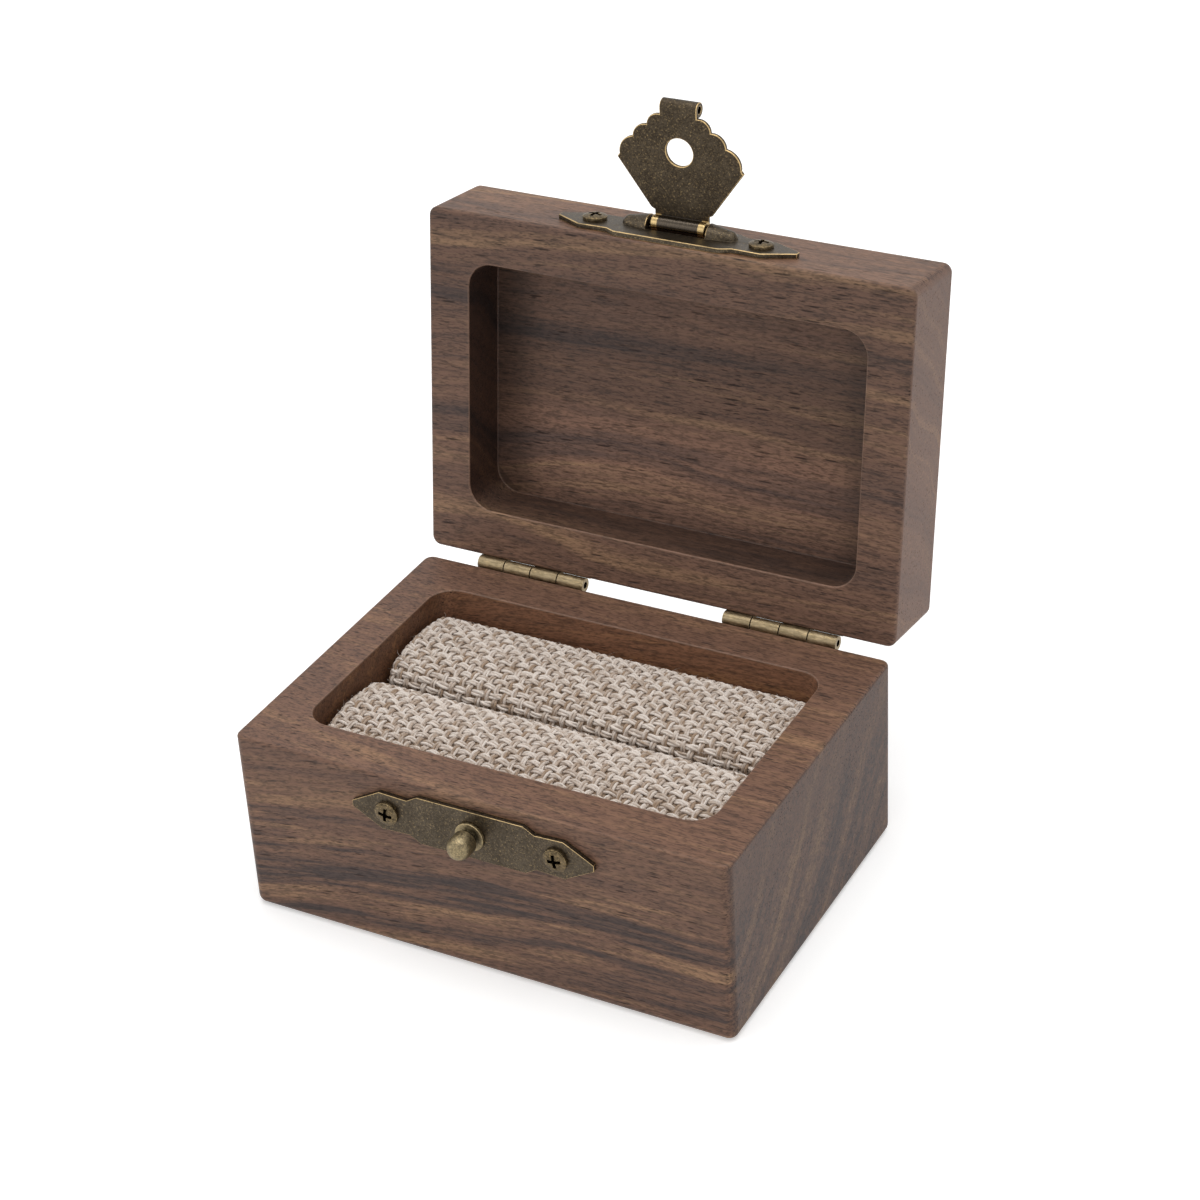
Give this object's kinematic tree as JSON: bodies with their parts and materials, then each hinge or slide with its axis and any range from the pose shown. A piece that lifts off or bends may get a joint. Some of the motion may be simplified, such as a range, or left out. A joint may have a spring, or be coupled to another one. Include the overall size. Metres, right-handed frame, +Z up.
{
  "type": "ring display box",
  "caption": "Small walnut ring box with a hinged lid, antique hasp over a knob, and padded burlap rolls with a ring slot between them.",
  "frame": {"origin": "centre of the underside of the base block, on the table", "axes": "+Z up, -Y is the front with the catch, +X is the right-hand side seen from the front; the lid is open 98 degrees and the hasp flap stands 82 degrees off the lid front"},
  "size_m": [0.08, 0.0854, 0.1071],
  "materials": {
    "walnut": "oiled, open grained",
    "burlap": "coarse plain weave, matte",
    "foam": "open cell, matte",
    "card": "matte board",
    "antique_bronze": "antiqued, rubbed bright at the edges",
    "flap_bronze": "antiqued, mottled",
    "screw_bronze": "antiqued",
    "pin_steel": "drawn wire"
  },
  "bodies": {
    "base": {"base_box": "walnut", "insert_card": "card", "front_roll_foam": "foam", "front_roll_cover": "burlap", "rear_roll_foam": "foam", "rear_roll_cover": "burlap", "catch_plate": "antique_bronze", "catch_knob": "antique_bronze", "catch_screws": "screw_bronze", "left_hinge_base_leaf": "antique_bronze", "left_hinge_pin": "pin_steel", "left_hinge_base_screws": "screw_bronze", "right_hinge_base_leaf": "antique_bronze", "right_hinge_pin": "pin_steel", "right_hinge_base_screws": "screw_bronze"},
    "lid": {"lid_box": "walnut", "left_hinge_lid_leaf": "antique_bronze", "left_hinge_lid_screws": "screw_bronze", "right_hinge_lid_leaf": "antique_bronze", "right_hinge_lid_screws": "screw_bronze", "hasp_plate": "antique_bronze", "hasp_screws": "screw_bronze", "hasp_pin": "pin_steel"},
    "hasp": {"hasp_flap": "flap_bronze"}
  },
  "joints": [
    {"name": "lid_hinge", "type": "hinge", "parent": "base", "child": "lid", "pos_m": [0, 0.02914, 0.0307], "axis": [-1, 0, 0], "range_deg": [-98, 82]},
    {"name": "hasp_hinge", "type": "hinge", "parent": "lid", "child": "hasp", "pos_m": [0, 0.04285, 0.08799], "axis": [-1, 0, 0], "range_deg": [-82, 68]}
  ]
}
